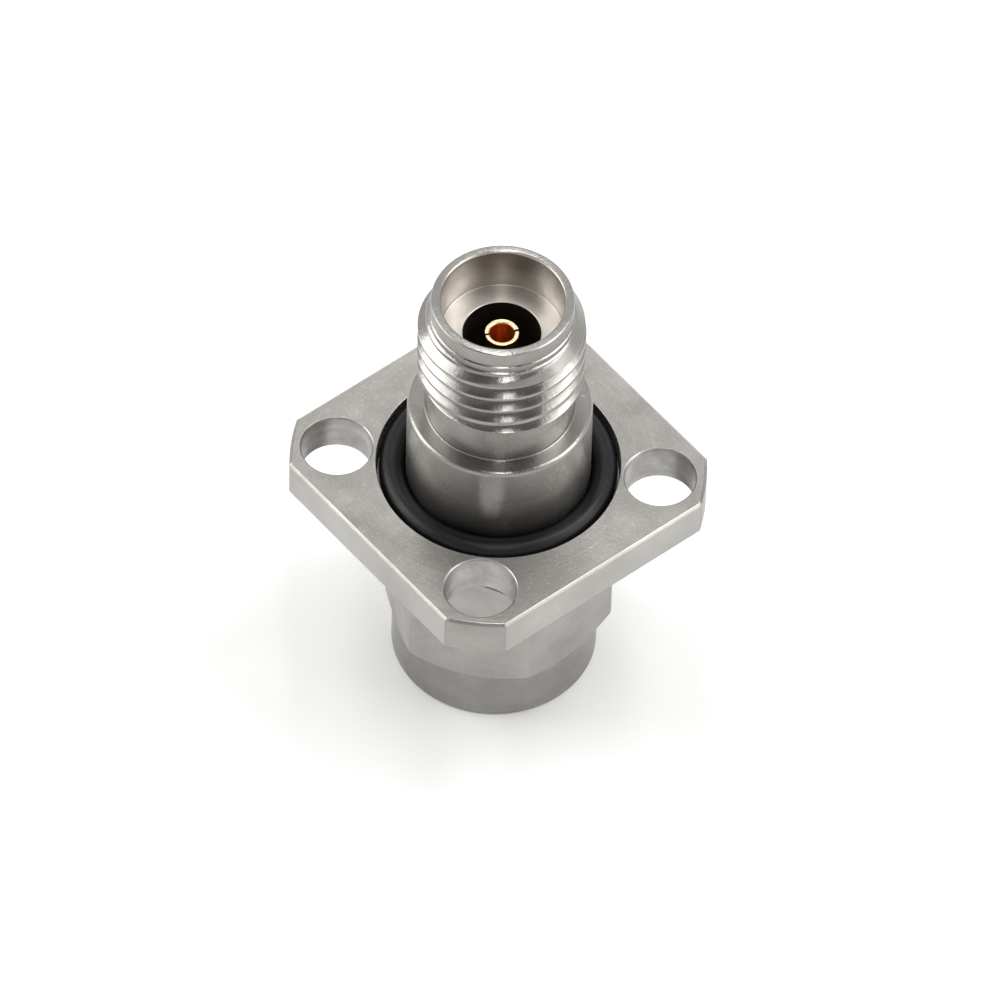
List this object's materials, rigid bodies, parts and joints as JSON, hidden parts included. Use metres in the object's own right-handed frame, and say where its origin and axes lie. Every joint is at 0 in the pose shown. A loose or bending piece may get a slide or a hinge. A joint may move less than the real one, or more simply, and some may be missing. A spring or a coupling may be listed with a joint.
{
  "type": "panel-mount coaxial adapter",
  "caption": "Straight coaxial adapter with a threaded jack above a square mounting flange with a seal, and a plug with a captive hexagon coupling nut below.",
  "frame": {"origin": "centre of the coupling nut's mating end, on which the adapter stands", "axes": "+Z along the connector's axis from the plug to the jack; X and Y parallel to the flange's sides"},
  "size_m": [0.0126, 0.0126, 0.0201],
  "materials": {
    "stainless": "passivated stainless steel, fine turned and milled",
    "nut_stainless": "passivated stainless steel, satin",
    "spring_metal": "spring bronze",
    "seal_rubber": "black moulded rubber, slight sheen",
    "contact_gold": "gold plated",
    "bead_plastic": "natural amber polymer"
  },
  "bodies": {
    "adapter": {"flange_body": "stainless", "flange_seal": "seal_rubber", "jack_contact": "contact_gold", "jack_bead": "bead_plastic", "centre_conductor": "contact_gold", "line_sleeve": "stainless", "plug_bead": "bead_plastic", "plug_pin": "contact_gold", "plug_body": "stainless"},
    "ring": {"snap_ring": "spring_metal"},
    "nut": {"coupling_nut": "nut_stainless"}
  },
  "joints": [
    {"name": "nut_float", "type": "slide", "parent": "adapter", "child": "ring", "axis": [0, 0, -1], "range_m": [0, 0.0003]},
    {"name": "nut_spin", "type": "hinge", "parent": "ring", "child": "nut", "pos_m": [0, 0, 0.006], "axis": [0, 0, 1], "continuous": true}
  ]
}
